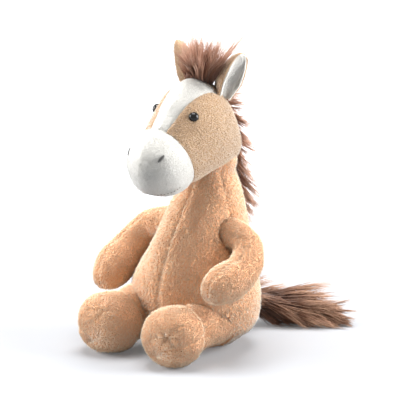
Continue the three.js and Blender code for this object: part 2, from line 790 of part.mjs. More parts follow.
addPair("cheek", cheek(), "cheek");
add("blaze", blaze(), "white");
add("muzzle", muzzle(), "white");
add("head_filling", headFilling(), "filling");
addPair("eye", eye(), "black");
addPair("eye_washer", washer(), "plastic");
addPair("nostril", nostril(), "black");
addPair("ear", ear(), "tan");
addPair("ear_lining", earLining(), "white");
add("forelock", forelock(), "brown");
add("mane_upper", maneUpper(), "brown");

function addArm(side, drop, spread) {
  const surface = bentArm(spread);
  const place = (geometry) => {
    const hung = swung(geometry, SHOULDER, drop);
    return side === "left" ? hung : mirrored(hung);
  };
  add(`arm_${side}`, place(armCover(surface)), "tan");
  add(`arm_filling_${side}`, place(armFilling(surface)), "filling");
}
addArm("left", ARM_DROP_LEFT, ARM_SPREAD_LEFT);
addArm("right", ARM_DROP_RIGHT, ARM_SPREAD_RIGHT);
addPair("leg", legCover(), "tan");
addPair("leg_filling", legFilling(), "filling");

export default foal;
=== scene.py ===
"""A sitting plush foal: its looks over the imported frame, in metres."""

import math

import bmesh
import bpy
import numpy as np
from mathutils import Matrix, Vector, noise
from mathutils.bvhtree import BVHTree


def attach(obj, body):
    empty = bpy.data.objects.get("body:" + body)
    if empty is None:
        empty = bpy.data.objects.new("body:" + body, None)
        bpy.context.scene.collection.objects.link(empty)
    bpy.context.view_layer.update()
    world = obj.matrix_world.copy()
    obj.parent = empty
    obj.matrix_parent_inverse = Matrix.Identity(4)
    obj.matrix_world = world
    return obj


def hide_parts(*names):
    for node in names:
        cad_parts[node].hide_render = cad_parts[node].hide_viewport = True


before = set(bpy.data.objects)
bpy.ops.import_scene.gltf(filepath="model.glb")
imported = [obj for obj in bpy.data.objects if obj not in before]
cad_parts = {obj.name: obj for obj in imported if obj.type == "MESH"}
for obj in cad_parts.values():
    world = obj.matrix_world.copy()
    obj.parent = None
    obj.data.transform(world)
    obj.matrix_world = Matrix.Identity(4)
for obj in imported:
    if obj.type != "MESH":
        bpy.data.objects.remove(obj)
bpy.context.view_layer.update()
MM = 0.001
noise.seed_set(11)  # the same swirls of fibre on every run
scene = bpy.context.scene
scene.view_settings.view_transform = "Standard"

# ---------------------------------------------------------------- studio
# A pale table in a white room, seen from in front and to the toy's left, a little from above.
# Broad soft lamps stand left, right and behind, so the edges are lit and the middle is a shade darker.
AZIMUTH, ELEVATION = math.radians(40), math.radians(15)
CAMERA_DISTANCE, PICTURE_WIDTH, SENSOR_WIDTH = 12.0, 0.4, 36  # metres, metres and millimetres
to_right = Vector((math.cos(AZIMUTH), math.sin(AZIMUTH), 0))
to_camera = Vector((
    math.sin(AZIMUTH) * math.cos(ELEVATION),
    -math.cos(AZIMUTH) * math.cos(ELEVATION),
    math.sin(ELEVATION),
))
to_top = to_camera.cross(to_right)
looked_at = to_right * -5 * MM + to_top * 139 * MM
camera = bpy.data.objects.new("camera", bpy.data.cameras.new("camera"))
camera.data.sensor_width = SENSOR_WIDTH
camera.data.lens = SENSOR_WIDTH * CAMERA_DISTANCE / PICTURE_WIDTH
camera.data.clip_end = 100
camera.location = looked_at + to_camera * CAMERA_DISTANCE
camera.rotation_euler = to_camera.to_track_quat("Z", "Y").to_euler()
scene.collection.objects.link(camera)
scene.camera = camera


class Wire:
    """A socket of a material, so that shader maths reads as arithmetic."""

    def __init__(self, paint, socket):
        self.paint, self.socket = paint, socket

    def maths(self, operation, *values, clamp=False):
        inputs = dict(enumerate(values))
        return self.paint.node("ShaderNodeMath", {"operation": operation, "use_clamp": clamp}, inputs)

    def __add__(self, other):
        return self.maths("ADD", self, other)

    def __radd__(self, other):
        return self.maths("ADD", other, self)

    def __sub__(self, other):
        return self.maths("SUBTRACT", self, other)

    def __rsub__(self, other):
        return self.maths("SUBTRACT", other, self)

    def __mul__(self, other):
        return self.maths("MULTIPLY", self, other)

    def __rmul__(self, other):
        return self.maths("MULTIPLY", other, self)

    def __pow__(self, other):
        return self.maths("POWER", self, other)

    def clamped(self):
        return self.maths("ADD", self, 0.0, clamp=True)


class Paint:
    """A material that is written as expressions."""

    def __init__(self, name, **shader):
        self.material = bpy.data.materials.new(name)
        self.material.use_nodes = True
        self.tree = self.material.node_tree
        self.shader = self.tree.nodes["Principled BSDF"]
        for socket, value in shader.items():
            self.shader.inputs[socket.replace("_", " ")].default_value = value

    def node(self, kind, settings=None, inputs=None, output=0):
        made = self.tree.nodes.new(kind)
        for key, value in (settings or {}).items():
            setattr(made, key, value)
        for key, value in (inputs or {}).items():
            if isinstance(value, Wire):
                self.tree.links.new(value.socket, made.inputs[key])
            else:
                made.inputs[key].default_value = value
        return Wire(self, made.outputs[output])

    def feed(self, socket, wire):
        self.tree.links.new(wire.socket, self.shader.inputs[socket])

    def mixed(self, share, first, second):
        inputs = {0: share, 6: first, 7: second}
        return self.node("ShaderNodeMix", {"data_type": "RGBA"}, inputs, output=2)

    def cloudy(self, scale, detail=2.0, place=None):
        place = place or self.node("ShaderNodeTexCoord", output=3)
        return self.node("ShaderNodeTexNoise", None, {"Vector": place, "Scale": scale, "Detail": detail})

    def bumped(self, height, strength, distance):
        inputs = {"Height": height, "Strength": strength, "Distance": distance}
        self.feed("Normal", self.node("ShaderNodeBump", None, inputs))


def rgb(red, green, blue):
    """A colour as it looks on a screen, from 0 to 255, in the shader's own scale."""
    values = [c / 255 for c in (red, green, blue)]
    linear = [v / 12.92 if v <= 0.04045 else ((v + 0.055) / 1.055) ** 2.4 for v in values]
    return (*linear, 1.0)


def piece_of(name, bm):
    """A smoothly shaded object made from a bmesh, which is freed."""
    mesh = bpy.data.meshes.new(name)
    bm.to_mesh(mesh)
    bm.free()
    mesh.polygons.foreach_set("use_smooth", [True] * len(mesh.polygons))
    piece = bpy.data.objects.new(name, mesh)
    scene.collection.objects.link(piece)
    return piece


TABLE_HALF, TABLE_DROP = 30, 0.4 * MM  # in metres: just under the seat, so that the two never flicker
table_sheet = bmesh.new()
bmesh.ops.create_grid(table_sheet, x_segments=1, y_segments=1, size=TABLE_HALF)
bmesh.ops.translate(table_sheet, vec=(0, 0, -TABLE_DROP), verts=table_sheet.verts)
table = piece_of("table", table_sheet)
table_top = Paint("table_top", Base_Color=(0.38, 0.39, 0.41, 1), Roughness=0.8)
table_top.shader.inputs["Specular IOR Level"].default_value = 0.1
ways = table_top.node("ShaderNodeLightPath")
seen = table_top.node("ShaderNodeMath", {"operation": "MAXIMUM", "use_clamp": True}, {
    0: Wire(table_top, ways.socket.node.outputs["Is Camera Ray"]),
    1: Wire(table_top, ways.socket.node.outputs["Is Glossy Ray"]),
})
from_middle = table_top.node("ShaderNodeVectorMath", {"operation": "LENGTH"}, {
    0: table_top.node("ShaderNodeTexCoord", output=3),
}, output=1)
fade = (from_middle * 2.2 - 0.5).clamped()
table_top.feed("Emission Color", table_top.mixed(seen * (fade * 0.9 + 0.1), (0, 0, 0, 1), (1, 1, 1, 1)))
table_top.shader.inputs["Emission Strength"].default_value = 1.0
table.data.materials.append(table_top.material)

world = bpy.data.worlds.new("room")
scene.world = world
world.use_nodes = True
sky = world.node_tree
kinds = ("Background", "LightPath", "Math", "Math", "MixShader")
room_seen, light_path, either, seen_or_clear, choice = (sky.nodes.new(f"ShaderNode{kind}") for kind in kinds)
room_light = sky.nodes["Background"]
for background, strength in ((room_light, 0.1), (room_seen, 1.0)):
    background.inputs["Color"].default_value = (1, 1, 1, 1)
    background.inputs["Strength"].default_value = strength
either.operation = seen_or_clear.operation = "MAXIMUM"
for start, end in (
    (light_path.outputs["Is Camera Ray"], either.inputs[0]),
    (light_path.outputs["Is Glossy Ray"], either.inputs[1]),
    (either.outputs[0], seen_or_clear.inputs[0]),
    (light_path.outputs["Is Transmission Ray"], seen_or_clear.inputs[1]),
    (seen_or_clear.outputs[0], choice.inputs[0]),
    (room_light.outputs[0], choice.inputs[1]),
    (room_seen.outputs[0], choice.inputs[2]),
    (choice.outputs[0], sky.nodes["World Output"].inputs["Surface"]),
):
    sky.links.new(start, end)


def lamp(name, right, up, near, size, power):
    """A square soft lamp, placed as the camera sees the toy and aimed at its middle."""
    light = bpy.data.lights.new(name, "AREA")
    light.shape = "SQUARE"
    light.size = size
    light.energy = power
    holder = bpy.data.objects.new(name, light)
    middle = Vector((0, 0, 0.15))
    holder.location = middle + to_right * right + to_top * up + to_camera * near
    holder.rotation_euler = (holder.location - middle).to_track_quat("Z", "Y").to_euler()
    scene.collection.objects.link(holder)


lamp("lamp_left", -1.4, 0.5, 0.0, 0.9, 36)
lamp("lamp_right", 1.35, 0.45, 0.3, 0.9, 40)
lamp("lamp_top", 0.0, 1.4, 0.2, 1.1, 38)

# ---------------------------------------------------------------- torso
# One bag of short tan plush, sewn down the front, the back and the sides of the neck and filled
# with polyester fibre. It sits on its flattened bottom, and the limbs turn in hollows in its sides.
HIP = Vector((36, -34, 32.5)) * MM
SHOULDER = Vector((33, -5, 116)) * MM
NECK = Vector((0, 10.5, 182)) * MM
TAIL_ROOT = Vector((0, 46, 33)) * MM
NECK_RADIUS = 24.5
# height, half width, half depth and centre y in millimetres, from the seat to the top of the neck
torso_rows = [
    (-0.5, 0, 0, -8), (-0.5, 22, 22, -8),
    (1, 29, 28, -8), (8, 42, 40, -9), (24, 60, 53.5, -12), (45, 66, 58.5, -14), (66, 63, 58.5, -13.5),
    (92, 50.5, 54, -9), (119, 40, 46, -2), (142, 34, 37, 4.5), (157, 28.5, 30, 9),
]
for angle in map(math.radians, (-22, 5, 28, 50, 70, 90)):  # the round top of the neck
    across = NECK_RADIUS * math.cos(angle)
    torso_rows.append((182 + NECK_RADIUS * math.sin(angle), across, across, 10.5))


def smooth_rows(rows):
    """A smooth curve through the rows of a table: a row number in, its values out."""
    table = np.array(rows, float)
    full = np.vstack([2 * table[0] - table[1], table, 2 * table[-1] - table[-2]])

    def at(k):
        k = min(max(k, 0.0), len(table) - 1.0)
        i = min(int(k), len(table) - 2)
        t = k - i
        a, b, c, d = full[i:i + 4]
        bend = (2 * a - 5 * b + 4 * c - d) * t**2 + (3 * b - a - 3 * c + d) * t**3
        return (2 * b + (c - a) * t + bend) / 2

    return at


def skin(sections, sides, place, ends=("point", "point")):
    """Circles put in place one after the other and bridged into one closed skin."""
    bm = bmesh.new()
    rings = []
    for k in sections:
        ring = bmesh.ops.create_circle(bm, segments=sides, radius=1.0)["verts"]
        for v in ring:
            v.co = place(k, math.atan2(v.co.y, v.co.x))
        rings.append((ring, list({e for v in ring for e in v.link_edges})))
    for (_, first), (_, second) in zip(rings, rings[1:]):
        bmesh.ops.bridge_loops(bm, edges=first + second)
    for (ring, edges), end in zip((rings[0], rings[-1]), ends):
        if end == "point":
            middle = sum((v.co for v in ring), Vector()) / len(ring)
            bmesh.ops.pointmerge(bm, verts=ring, merge_co=middle)
        else:
            bmesh.ops.contextual_create(bm, geom=edges)
    bmesh.ops.recalc_face_normals(bm, faces=bm.faces)
    return bm


def lumpy(bm, height, size, seams=()):
    """Pushes a skin in and out a little, as fibre filling does, and pulls it in along its seams.
    Each seam is a function from a point to its distance, with a depth and a width."""
    bm.normal_update()
    moves = []
    for v in bm.verts:
        push = height * noise.noise(v.co / size + Vector((3.1, 7.7, 1.3)))
        push += 0.4 * height * noise.noise(v.co / (0.35 * size))
        for distance, depth, width in seams:
            push -= depth * math.exp(-((distance(v.co) / width) ** 2))
        moves.append(v.normal * push)
    for v, move in zip(bm.verts, moves):
        v.co += move
        v.co.z = max(v.co.z, 0.0)
    bm.normal_update()


def torso_place(k, angle, grow=0.0):
    z, width, depth, y = torso_curve(k)
    across, deep = max(width, 0) + grow, max(depth, 0) + grow
    return Vector((across * math.cos(angle), y + deep * math.sin(angle), max(z, 0))) * MM


torso_curve = smooth_rows(torso_rows)
torso_sections = [0.35, 0.7, 1.0, 1.15, 1.3, 1.5, 1.75] + list(np.arange(2, 15.6, 0.2))
torso_bm = skin(torso_sections, 96, torso_place)


def neck_side_seam(p):
    """How far a point is from the seam that runs down either side of the neck to the shoulder."""
    if not 0.128 < p.z < 0.19 or p.y > 0.02:
        return 1.0
    return abs(p.y - (-0.001 - 0.1 * (0.16 - p.z)))


lumpy(torso_bm, 1.2 * MM, 30 * MM, [
    (lambda p: abs(p.x) if p.y < 0.01 and p.z > 0.012 else 1.0, 2.1 * MM, 1.2 * MM),
    (lambda p: abs(p.x) if p.y > 0.02 and p.z > 0.012 else 1.0, 1.2 * MM, 2.2 * MM),
    (neck_side_seam, 1.1 * MM, 1.8 * MM),
    (lambda p: abs(p.z - 0.012), 0.8 * MM, 2.5 * MM),
])
whole_torso = BVHTree.FromBMesh(torso_bm)
torso_skin = piece_of("torso_skin", torso_bm)

# from the hip, in millimetres: centre line, half width and half height, over the ball of the hip to the foot
leg_rows = [
    (1, 22.2, 0, 8, 4), (1, 19, 0, 17, 12), (1, 13, 0, 21.5, 18.3), (1, 5, 0, 23.5, 21.9),
    (1, -5, 0, 23.5, 22.5), (1, -14, 0, 23, 22.8), (2.5, -26, -0.5, 22.5, 23.5), (3.5, -38, -2, 23.5, 24.5),
    (4.5, -47, -3, 28.5, 28), (5, -59, -3, 31, 30), (5, -73, -3, 28, 27.5), (5, -83, -2.8, 19.5, 19.5),
    (5, -87.5, -2.5, 10, 10), (5, -88.5, -2.5, 2, 2),
]
leg_curve = smooth_rows(leg_rows)


def leg_place(k, angle, grow=0.0):
    x, y, z, width, height = leg_curve(k)
    return HIP + Vector(((width + grow) * math.cos(angle) + x, y, (height + grow) * math.sin(angle) + z)) * MM


def swing(bm, pivot, degrees):
    """Turns a shape about a line to the toy's left: a positive turn drops its front."""
    turn = Matrix.Rotation(math.radians(degrees), 3, "X")
    bmesh.ops.rotate(bm, cent=pivot, matrix=turn, verts=bm.verts)


def flipped(bm):
    """The same shape for the toy's right side."""
    for v in bm.verts:
        v.co.x = -v.co.x
    bmesh.ops.reverse_faces(bm, faces=bm.faces)
    bm.normal_update()
    return bm


def hollow(piece, shapes):
    """Cuts a piece by some closed shapes."""
    tool_bm = bmesh.new()
    for bm in shapes:
        part = bpy.data.meshes.new("part")
        bm.to_mesh(part)
        bm.free()
        tool_bm.from_mesh(part)
    tool = piece_of("tool", tool_bm)
    cut = piece.modifiers.new("cut", "BOOLEAN")
    cut.operation, cut.solver, cut.object, cut.use_self = "DIFFERENCE", "EXACT", tool, True
    done = bpy.data.meshes.new_from_object(piece.evaluated_get(bpy.context.evaluated_depsgraph_get()))
    piece.modifiers.clear()
    piece.data = done
    done.polygons.foreach_set("use_smooth", [True] * len(done.polygons))
    done.polygons.foreach_set("material_index", [0] * len(done.polygons))
    bpy.data.objects.remove(tool)


def ball(bm, columns, rows, radius):
    """Adds a ball. The operator shuffles its faces on every run, so they are put in order again."""
    points = bmesh.ops.create_uvsphere(bm, u_segments=columns, v_segments=rows, radius=radius)["verts"]
    bm.verts.index_update()
    for table in (bm.edges, bm.faces):
        by_points = sorted(table, key=lambda e: sorted(v.index for v in e.verts))
        place = {e: i for i, e in enumerate(by_points)}
        table.sort(key=lambda e: place[e])
    return points


hollows = []
for side in (1, -1):
    for degrees in (-3, 8, 22, 36, 50, 65, 80):  # the thigh's room over its whole swing
        thigh = skin(np.arange(0.3, 7.1, 0.5), 32, lambda k, a: leg_place(k, a, 0.3))
        swing(thigh, HIP, degrees)
        hollows.append(thigh if side > 0 else flipped(thigh))
    socket = bmesh.new()
    bmesh.ops.create_cone(socket, cap_ends=True, segments=48, radius1=17.6 * MM, radius2=17.6 * MM, depth=20 * MM)
    bmesh.ops.rotate(socket, matrix=Matrix.Rotation(math.radians(90), 3, "Y"), verts=socket.verts)
    bmesh.ops.translate(socket, vec=SHOULDER + Vector((10.4 * MM, 0, 0)), verts=socket.verts)
    hollows.append(socket if side > 0 else flipped(socket))
dimple = bmesh.new()
ball(dimple, 32, 16, 9.8 * MM)
bmesh.ops.translate(dimple, vec=TAIL_ROOT, verts=dimple.verts)
hollows.append(dimple)
hollow(torso_skin, hollows)

# the tan pile's tip and root colours: the darker, more saturated root is painted shade deep in the pile, and the
# paler tip a painted sheen for the lit edges
TAN_TIP, TAN_ROOT = rgb(255, 244, 219), rgb(246, 174, 110)


def cloth(name, tip, root):
    """The ground cloth between the fibres, darker than their tips and a little uneven. Its darker colour is
    painted shade, the shadow under the pile, which shows through the gaps between the fibres and along the bare
    seams.
    """
    paint = Paint(name, Roughness=0.95, Sheen_Weight=0.2, Sheen_Roughness=0.5, Specular_IOR_Level=0.1)
    patches = paint.cloudy(55.0, 3.0)
    specks = paint.cloudy(900.0, 2.0)
    share = (specks * 0.35 + patches * 0.2 + 0.02).clamped()
    # mostly the fibres' root colour, as painted shade under the pile, with specks and patches of the tip colour
    paint.feed("Base Color", paint.mixed(share, root, tip))
    paint.bumped(specks + 0.4 * paint.cloudy(2200.0), 0.5, 0.0007)
    return paint.material


def own_shade(paint):
    """What a fibre's map holds: its own shade, and how far along it a point is."""
    own_map = paint.node("ShaderNodeUVMap", {"uv_map": "OFBake"})
    shade = paint.node("ShaderNodeSeparateXYZ", None, {0: own_map})
    return shade, Wire(paint, shade.socket.node.outputs[1])


def fibres(name, tip, root, spread):
    """Loose fibres: each has its own tone, and it is paler towards its tip. The darker, more saturated root is
    painted shade deep in the pile, and the paler tip a painted sheen for the lit edges.
    """
    paint = Paint(name, Roughness=0.8, Sheen_Weight=0.7, Sheen_Roughness=0.4, Specular_IOR_Level=0.15)
    own, along = own_shade(paint)
    # root to tip: painted shade at the root, painted sheen at the tip
    colour = paint.mixed((along * 1.1).clamped() ** 1.2, root, tip)
    dark = tuple(c * (1 - spread) for c in root[:3]) + (1.0,)
    paint.feed("Base Color", paint.mixed((1 - (own * 1.3 - 0.15).clamped()) * 0.42, colour, dark))
    return paint.material


def strand_shape(sides, rings, tip):
    """One fibre or lock as a thin closed cone, one unit long, cut across so that it can bend."""
    bm = bmesh.new()
    bmesh.ops.create_cone(bm, cap_ends=True, segments=sides, radius1=1.0, radius2=tip, depth=1.0)
    bmesh.ops.translate(bm, vec=(0, 0, 0.5), verts=bm.verts)
    for i in range(1, rings):
        geometry = bm.verts[:] + bm.edges[:] + bm.faces[:]
        bmesh.ops.bisect_plane(bm, geom=geometry, plane_co=(0, 0, i / rings), plane_no=(0, 0, 1))
    bmesh.ops.triangulate(bm, faces=bm.faces)
    for v in bm.verts:  # fuller below the middle, as a lock is
        full = 1 + 0.5 * math.sin(math.pi * min(v.co.z, 1)) if rings > 1 else 1.0
        v.co.x *= full
        v.co.y *= full
    points = np.array([v.co for v in bm.verts])
    faces = np.array([[v.index for v in f.verts] for f in bm.faces])
    bm.free()
    return points, faces


def unit(vectors):
    return vectors / np.maximum(np.linalg.norm(vectors, axis=1, keepdims=True), 1e-9)


def pile(name, shape, roots, aims, lengths, widths, bends, shades):
    """Copies of one fibre, each with its root, aim, length, width and bend, as one piece."""
    points, faces = shape
    count, corners = len(roots), len(points)
    aims = unit(aims)
    helper = np.where(np.abs(aims[:, 2:3]) < 0.9, [[0.0, 0.0, 1.0]], [[1.0, 0.0, 0.0]])
    across = unit(np.cross(aims, helper))
    over = np.cross(across, aims)
    x, y, z = points.T
    co = roots[:, None] + aims[:, None] * (lengths[:, None] * z)[..., None]
    co = co + across[:, None] * (widths[:, None] * x)[..., None] + over[:, None] * (widths[:, None] * y)[..., None]
    co = co + bends[:, None] * (lengths[:, None] * z**2)[..., None]
    co[..., 2] = np.maximum(co[..., 2], 0.0002)
    index = (faces[None] + (np.arange(count) * corners)[:, None, None]).reshape(-1)
    mesh = bpy.data.meshes.new(name)
    mesh.vertices.add(count * corners)
    mesh.vertices.foreach_set("co", co.reshape(-1).astype(np.float32))
    mesh.loops.add(len(index))
    mesh.loops.foreach_set("vertex_index", index.astype(np.int32))
    mesh.polygons.add(len(index) // 3)
    mesh.polygons.foreach_set("loop_start", np.arange(0, len(index), 3, dtype=np.int32))
    mesh.update(calc_edges=True)
    mesh.validate()
    own_map = mesh.uv_layers.new(name="OFBake")
    u = 0.03 + 0.94 * shades[:, None] + 0.02 * x[None]
    v = np.broadcast_to(0.01 + 0.98 * z, u.shape)
    uv = np.stack([np.clip(u, 0, 1), v], -1).reshape(-1, 2)[index]
    own_map.data.foreach_set("uv", uv.reshape(-1).astype(np.float32))
    mesh.polygons.foreach_set("use_smooth", [True] * len(mesh.polygons))
    piece = bpy.data.objects.new(name, mesh)
    scene.collection.objects.link(piece)
    return piece


def triples(rows, key, kind):
    """A property of three numbers, from every row of a mesh's table."""
    values = np.zeros(len(rows) * 3, kind)
    rows.foreach_get(key, values)
    return values.reshape(-1, 3)


def spots(piece, per_mm2, seed, keep=None):
    """Evenly scattered points of a piece's surface, with the surface's direction at each."""
    mesh = piece.data
    mesh.calc_loop_triangles()
    places = triples(mesh.vertices, "co", np.float32).astype(float)
    facing = triples(mesh.vertex_normals, "vector", np.float32).astype(float)
    corners = triples(mesh.loop_triangles, "vertices", np.int32)
    if keep is not None:
        corners = corners[[keep(Vector(middle)) for middle in places[corners].mean(1)]]
    a, b, c = places[corners].transpose(1, 0, 2)
    areas = np.linalg.norm(np.cross(b - a, c - a), axis=1) / 2
    rng = np.random.default_rng(seed)
    count = int(areas.sum() * 1e6 * per_mm2)
    # an even spread: each triangle's share of the count, at even steps of the summed area
    steps = (np.arange(count) + rng.random(count)) / count * areas.sum()
    chosen = np.minimum(np.searchsorted(np.cumsum(areas), steps), len(areas) - 1)
    u, v = rng.random((2, count))
    over = u + v > 1
    u[over], v[over] = 1 - u[over], 1 - v[over]
    weights = np.stack([1 - u - v, u, v], 1)[..., None]
    at = (places[corners[chosen]] * weights).sum(1)
    out = unit((facing[corners[chosen]] * weights).sum(1))
    return at, out, rng


SHORT_FIBRE = strand_shape(3, 1, 0.0)


def outside(shape, p):
    """How far a point is outside a closed skin: less than nothing if it is inside."""
    place, facing = shape.find_nearest(p)[:2]
    return (p - place).dot(facing)


def nap(name, piece, per_mm2, seed, comb, length, width, lean=0.95, keep=None):
    """Short pile over a piece, leaning the way the cloth was combed: one way, or one for each point."""
    at, out, rng = spots(piece, per_mm2, seed, keep)
    way = comb(at) if callable(comb) else np.broadcast_to(np.array(comb, float), at.shape)
    way = unit(way - out * (way * out).sum(1, keepdims=True))
    swirl = np.array([noise.noise_vector(Vector(p) / (9 * MM)) for p in at])
    aims = out + lean * way + 0.38 * rng.normal(size=at.shape) + 0.22 * swirl
    sunk = at - out * 0.4 * MM
    count = len(at)
    lengths = length * MM * rng.uniform(0.65, 1.25, count)
    widths = width * MM * rng.uniform(0.7, 1.2, count)
    cloud = np.array([noise.noise(Vector(p) / (6 * MM)) for p in at])
    shades = np.clip(0.6 + 0.15 * cloud + 0.22 * rng.normal(size=count), 0, 1)
    return pile(name, SHORT_FIBRE, sunk, aims, lengths, widths, 0.25 * way, shades)


def dressed(piece, material, body, finish, *nodes):
    """Gives a piece its material, the body that carries it and the nodes it stands for. Its finish is not used."""
    piece.data.materials.clear()
    piece.data.materials.append(material)
    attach(piece, body)
    if nodes:
        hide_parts(*nodes)


def torso_has_pile(p):
    """Whether a point shows: off the seat, outside the hollows and the head, and clear of the seams. Along the
    seams the pile is left out, so that the ground cloth's painted shade draws them as dark lines.
    """
    shows = 0.002 < p.z < 0.196 and abs(outside(whole_torso, p)) < 0.3 * MM
    return shows and neck_side_seam(p) > 0.5 * MM and (abs(p.x) > 0.8 * MM or p.y > 0)


tan_cloth = cloth("tan_cloth", TAN_TIP, TAN_ROOT)
tan_fibre = fibres("tan_fibre", TAN_TIP, TAN_ROOT, 0.3)
torso_nap = nap("torso_nap", torso_skin, 0.86, 11, (0, 0, -1), 3.2, 0.66, keep=torso_has_pile)
dressed(torso_skin, tan_cloth, "torso", "tan_plush", "torso_cover", "torso_filling")
dressed(torso_nap, tan_fibre, "torso", "tan_plush")

# ---------------------------------------------------------------- legs
# Each leg is one stuffed tan tube that starts as a ball in the torso's lower front and swells into a
# round foot. The foot's sole is gathered to a small star, with short puckers running out of it.
def leg_side_seam(p):
    """How far a point is from the seam that runs forward along the leg's outer side."""
    return abs(p.z - (0.036 + 0.25 * (p.y + 0.069))) if p.x > 0.04 and -0.12 < p.y < -0.025 else 1.0


def mirrored_in(p, side):
    """The same place on the toy's left."""
    return Vector((side * p.x, p.y, p.z))


def bare_of(p, star):
    """Whether a point is clear of the leg's seam and of its gathered sole, which have no pile, so that the ground
    cloth's painted shade shows there as dark creases.
    """
    return leg_side_seam(p) > 0.5 * MM and (p - star).length > 2.2 * MM


def gathered(bm, star, reach, depth, puckers):
    """Draws the cloth in round a point, in folds that run out of it."""
    bm.normal_update()
    facing = min(bm.verts, key=lambda v: (v.co - star).length).normal.copy()
    right = facing.cross(Vector((0, 0, 1))).normalized()
    over = right.cross(facing)
    for v in bm.verts:
        away = v.co - star
        far = away.length / reach
        if far < 2.5:
            turn = math.atan2(away.dot(over), away.dot(right))
            fold = 0.5 + 0.5 * math.cos(puckers * turn + 1.3 * math.sin(2 * turn))
            dip, crease = math.exp(-((far / 0.35) ** 2)), math.exp(-(far**2)) * min(3 * far, 1)
            v.co -= facing * depth * (dip + 0.75 * fold * crease)


SOLE_SEAM_Y = -73.5 * MM  # where the foot is sewn to the leg
THIGH_BULGE = Vector((50, -52, 50)) * MM  # where the belly presses the far thigh out
# for each leg: how far it is turned out in degrees, the bulge, and the middle of the sole's gathers
for side, name, turned_out, bulge, star in (
    (1, "left", -2.5, 0, Vector((52, -121, 36)) * MM), (-1, "right", 4.5, 6 * MM, Vector((31, -119, 52)) * MM),
):
    leg = skin(np.arange(0, 13.05, 0.16), 88, leg_place)
    lumpy(leg, 1.3 * MM, 24 * MM, [
        (leg_side_seam, 1.6 * MM, 1.8 * MM), (lambda p: abs(p.y - SOLE_SEAM_Y), 3.4 * MM, 3.0 * MM),
        (lambda p: (p - THIGH_BULGE).length, -bulge, 19 * MM),
    ])
    turn = Matrix.Rotation(math.radians(turned_out), 3, "Z")
    bmesh.ops.rotate(leg, cent=HIP, matrix=turn, verts=leg.verts)
    gathered(leg, star, 12 * MM, 3.6 * MM, 6)
    for v in leg.verts:
        v.co.z = max(v.co.z, 0.0)
    leg_skin = piece_of(f"leg_{name}_skin", leg if side > 0 else flipped(leg))
    leg_nap = nap(
        f"leg_{name}_nap", leg_skin, 1.0, 20 + side, (0, -0.9, -0.45), 3.0, 0.62,
        keep=lambda p: p.z > 0.002 and outside(whole_torso, p) > -1.5 * MM and bare_of(mirrored_in(p, side), star),
    )
    dressed(leg_skin, tan_cloth, f"leg_{name}", "tan_plush", f"leg_{name}", f"leg_filling_{name}")
    dressed(leg_nap, tan_fibre, f"leg_{name}", "tan_plush")

# ---------------------------------------------------------------- arms
# Stuffed tan tubes that leave the shoulders sideways and bend forwards and down, a little heavier at
# the paws. A seam runs along the top of each, and another goes round it at the shoulder.
SHOULDER_SEAM_X = 47.5 * MM
# from the shoulder, in millimetres: centre line, half width and half height
arm_rows = [
    (0, 0, 0, 15, 15), (11, 0, 0, 15, 15), (24.5, -5, -5, 14, 14.5), (34.5, -20, -9.5, 15, 16),
    (37.5, -41, -9.5, 17, 17.5), (36, -60, -4, 18.5, 18.5), (34.5, -75.5, -1, 15, 15),
    (33.5, -83.5, 0.5, 8.5, 8.5), (33, -86.1, 1, 2.5, 2.5),
]


def across_line(curve, k, last):
    """Centre, sideways and upward directions and half sizes of a limb that follows a bent line."""
    values = curve(k)
    ahead, behind = curve(min(k + 0.02, last)), curve(max(k - 0.02, 0))
    along = Vector(ahead[:3] - behind[:3]).normalized()
    sideways = along.cross(Vector((0, 0, 1))).normalized()
    return Vector(values[:3]), sideways, sideways.cross(along), values[3], values[4]


# for each arm: how wide it reaches, and how far it hangs down in degrees
for side, name, spread, drop in ((1, "left", 1.06, 31), (-1, "right", 1.3, 44)):
    rows = [(x if i < 2 else x * spread, y, z, w, h) for i, (x, y, z, w, h) in enumerate(arm_rows)]
    arm_curve = smooth_rows(rows)

    def arm_place(k, angle):
        centre, sideways, upward, width, height = across_line(arm_curve, k, 8)
        p = centre + sideways * (max(width, 0) * math.cos(angle)) + upward * (max(height, 0) * math.sin(angle))
        if k < 0.05:
            p.x = 0.3
        return SHOULDER + p * MM

    arm = skin(np.arange(0, 8.01, 0.12), 72, arm_place, ends=("flat", "point"))
    middle_line = [Vector(arm_curve(k)[:3]) * MM + SHOULDER for k in np.arange(0, 8.01, 0.1)]

    def top_seam(p):
        """How far a point is from the seam along the top of the arm."""
        nearest = min(middle_line, key=lambda m: (m - p).length_squared)
        return abs(p.x - nearest.x - 0.003) if p.z > nearest.z and p.y < -0.012 else 1.0

    lumpy(arm, 1.3 * MM, 20 * MM, [
        (top_seam, 1.5 * MM, 1.5 * MM), (lambda p: abs(p.x - SHOULDER_SEAM_X), 0.7 * MM, 2.2 * MM),
    ])
    swing(arm, SHOULDER, drop)
    arm_skin = piece_of(f"arm_{name}_skin", arm if side > 0 else flipped(arm))
    down = math.radians(drop)
    arm_nap = nap(
        f"arm_{name}_nap", arm_skin, 1.0, 30 + side, (0, -math.cos(down), -math.sin(down)), 3.0, 0.62,
        keep=lambda p: outside(whole_torso, p) > -1.5 * MM,
    )
    dressed(arm_skin, tan_cloth, f"arm_{name}", "tan_plush", f"arm_{name}", f"arm_filling_{name}")
    dressed(arm_nap, tan_fibre, f"arm_{name}", "tan_plush")

# ---------------------------------------------------------------- head
# An egg of four sewn panels over polyester wadding: two light tan cheeks, a white blaze from the
# forelock down, and a white muzzle. The pile of the cheeks lies over the seams, and the throat is
# hollow, so that the head nods on the round top of the neck.
HEAD_CENTRE = Vector((0, -7, 224)) * MM
PITCH = math.radians(26)
head_along = Vector((0, -math.cos(PITCH), -math.sin(PITCH)))
head_up = Vector((0, -math.sin(PITCH), math.cos(PITCH)))
